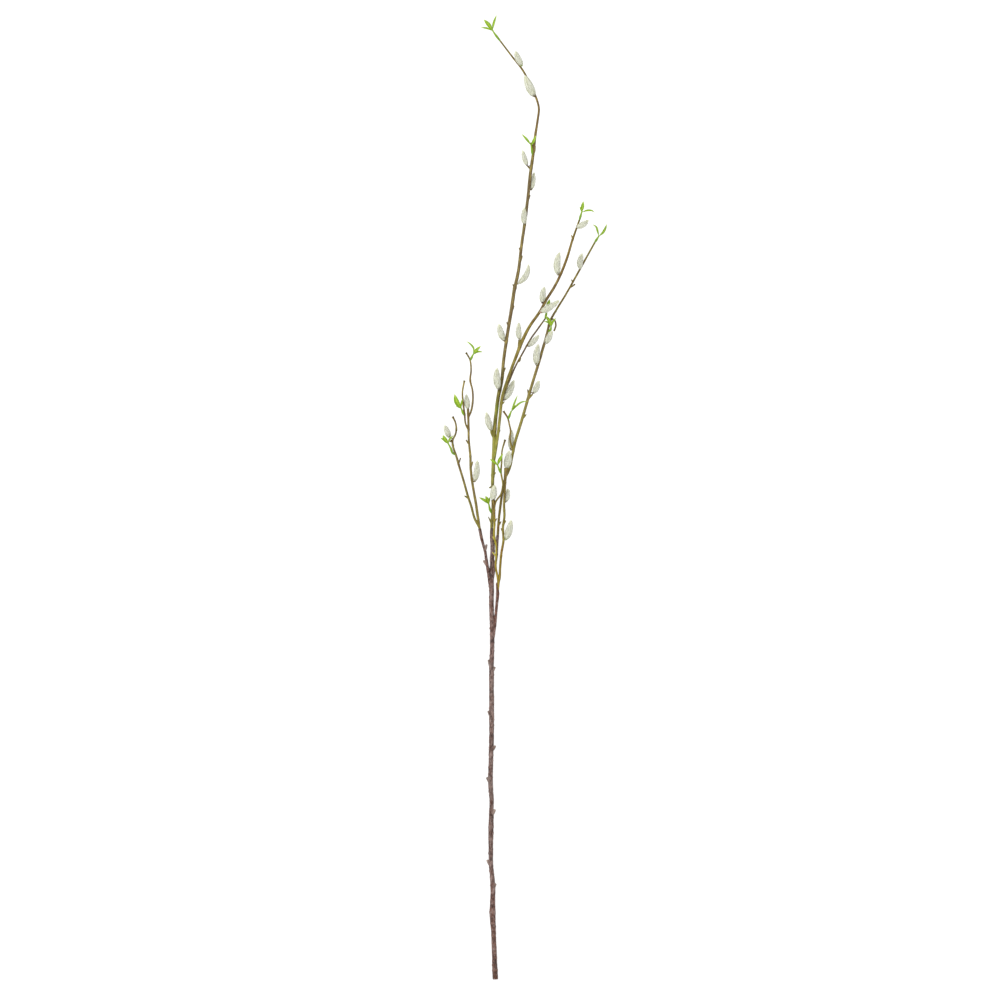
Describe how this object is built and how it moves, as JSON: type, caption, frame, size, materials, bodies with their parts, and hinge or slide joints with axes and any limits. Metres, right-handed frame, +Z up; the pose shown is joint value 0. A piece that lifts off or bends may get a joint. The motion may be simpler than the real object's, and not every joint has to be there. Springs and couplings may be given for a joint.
{
  "type": "willow twig",
  "caption": "Cut spring willow twig lying flat: a long bark stem that forks into slim olive branches with fluffy silver catkins and small new leaves.",
  "frame": {"origin": "on the surface it lies on, under the middle of its outline", "axes": "+Y along the twig from the cut end to the top, +X to the side of the outer branch, +Z up from the surface"},
  "size_m": [0.2004, 1.158, 0.0407],
  "materials": {
    "bark": "matt purple-brown bark with fine grain and pores",
    "olive_bark": "satin olive to brown young bark",
    "catkin_fluff": "soft silver-green down",
    "leaf_green": "satin fresh green leaf"
  },
  "bodies": {
    "root": {"catkin_inner_1": "catkin_fluff", "catkin_inner_2": "catkin_fluff", "catkin_inner_3": "catkin_fluff", "catkin_inner_4": "catkin_fluff", "catkin_inner_5": "catkin_fluff", "catkin_inner_6": "catkin_fluff", "catkin_left_1": "catkin_fluff", "catkin_left_2": "catkin_fluff", "catkin_left_3": "catkin_fluff", "catkin_outer_1": "catkin_fluff", "catkin_outer_2": "catkin_fluff", "catkin_outer_3": "catkin_fluff", "catkin_outer_4": "catkin_fluff", "catkin_outer_5": "catkin_fluff", "catkin_right_1": "catkin_fluff", "catkin_right_2": "catkin_fluff", "catkin_right_3": "catkin_fluff", "catkin_right_4": "catkin_fluff", "catkin_slim_1": "catkin_fluff", "catkin_top_1": "catkin_fluff", "catkin_top_2": "catkin_fluff", "catkin_top_3": "catkin_fluff", "catkin_top_4": "catkin_fluff", "catkin_top_5": "catkin_fluff", "catkin_top_6": "catkin_fluff", "catkin_top_7": "catkin_fluff", "catkin_top_8": "catkin_fluff", "catkin_top_9": "catkin_fluff", "left_branch": "olive_bark", "main_stem": "bark", "outer_branch": "olive_bark", "right_branch": "olive_bark", "shoot_inner_tip": "leaf_green", "shoot_left_low": "leaf_green", "shoot_left_middle": "leaf_green", "shoot_left_top": "leaf_green", "shoot_middle": "leaf_green", "shoot_outer_side": "leaf_green", "shoot_outer_tip": "leaf_green", "shoot_right_low": "leaf_green", "shoot_slim_tip": "leaf_green", "shoot_stem_side": "leaf_green", "shoot_top": "leaf_green", "shoot_upper_left": "leaf_green", "tall_branch": "olive_bark"}
  },
  "joints": []
}
